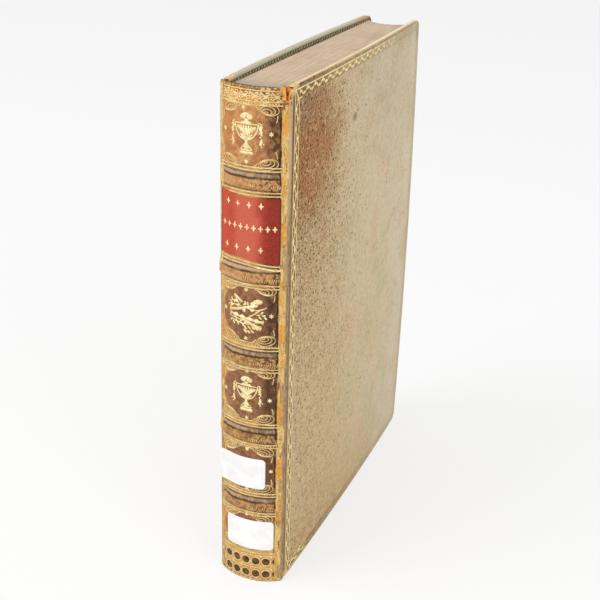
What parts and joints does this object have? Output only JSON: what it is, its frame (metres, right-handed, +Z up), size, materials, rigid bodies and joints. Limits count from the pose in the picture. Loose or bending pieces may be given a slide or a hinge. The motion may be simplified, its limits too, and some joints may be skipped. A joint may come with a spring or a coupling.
{
  "type": "antique leather book",
  "caption": "Antique folio book in sprinkled calf with a rounded, gilt-tooled spine on raised bands; both covers open.",
  "frame": {"origin": "middle of the footprint, on the surface that the book stands on by its tail", "axes": "+X through the thickness towards the front cover, +Y from the spine to the fore-edge, +Z up from tail to head"},
  "size_m": [0.0432, 0.2456, 0.325],
  "materials": {
    "leaves": "aged rag paper, matte, cut edges",
    "endpaper": "laid paper, matte",
    "cord": "hemp cord",
    "lining": "waste paper lining, matte",
    "core": "linen cord",
    "thread": "blue-green and white thread",
    "spine_calf": "dark polished calf, rubbed at the joints and ends",
    "sprinkled_calf": "tan calf, sprinkled dark, worn",
    "red_leather": "red goatskin, rubbed",
    "white_paper": "smooth white paper",
    "pasteboard": "laminated pasteboard",
    "gold": "worn gold leaf"
  },
  "bodies": {
    "block": {"text_block": "leaves", "front_free_endpaper": "endpaper", "back_free_endpaper": "endpaper", "sewing_cord_1": "cord", "sewing_cord_2": "cord", "sewing_cord_3": "cord", "sewing_cord_4": "cord", "sewing_cord_5": "cord", "spine_lining_1": "lining", "spine_lining_2": "lining", "spine_lining_3": "lining", "spine_lining_4": "lining", "spine_lining_5": "lining", "spine_lining_6": "lining", "head_endband_core": "core", "head_endband_thread": "thread", "tail_endband_core": "core", "tail_endband_thread": "thread", "spine_leather": "spine_calf", "spine_gilding": "gold", "lettering_piece": "red_leather", "upper_paper_label": "white_paper", "lower_paper_label": "white_paper"},
    "front_cover": {"front_board": "pasteboard", "front_leather": "sprinkled_calf", "front_pastedown": "endpaper", "front_gilding": "gold", "front_slip_1": "cord", "front_slip_2": "cord", "front_slip_3": "cord", "front_slip_4": "cord", "front_slip_5": "cord"},
    "back_cover": {"back_board": "pasteboard", "back_leather": "sprinkled_calf", "back_pastedown": "endpaper", "back_gilding": "gold", "back_slip_1": "cord", "back_slip_2": "cord", "back_slip_3": "cord", "back_slip_4": "cord", "back_slip_5": "cord"}
  },
  "joints": [
    {"name": "front_joint", "type": "hinge", "parent": "block", "child": "front_cover", "pos_m": [0.0215, -0.1132, 0.1625], "axis": [0, 0, -1], "range_deg": [0, 160]},
    {"name": "back_joint", "type": "hinge", "parent": "block", "child": "back_cover", "pos_m": [-0.0215, -0.1132, 0.1625], "axis": [0, 0, 1], "range_deg": [0, 160]}
  ]
}
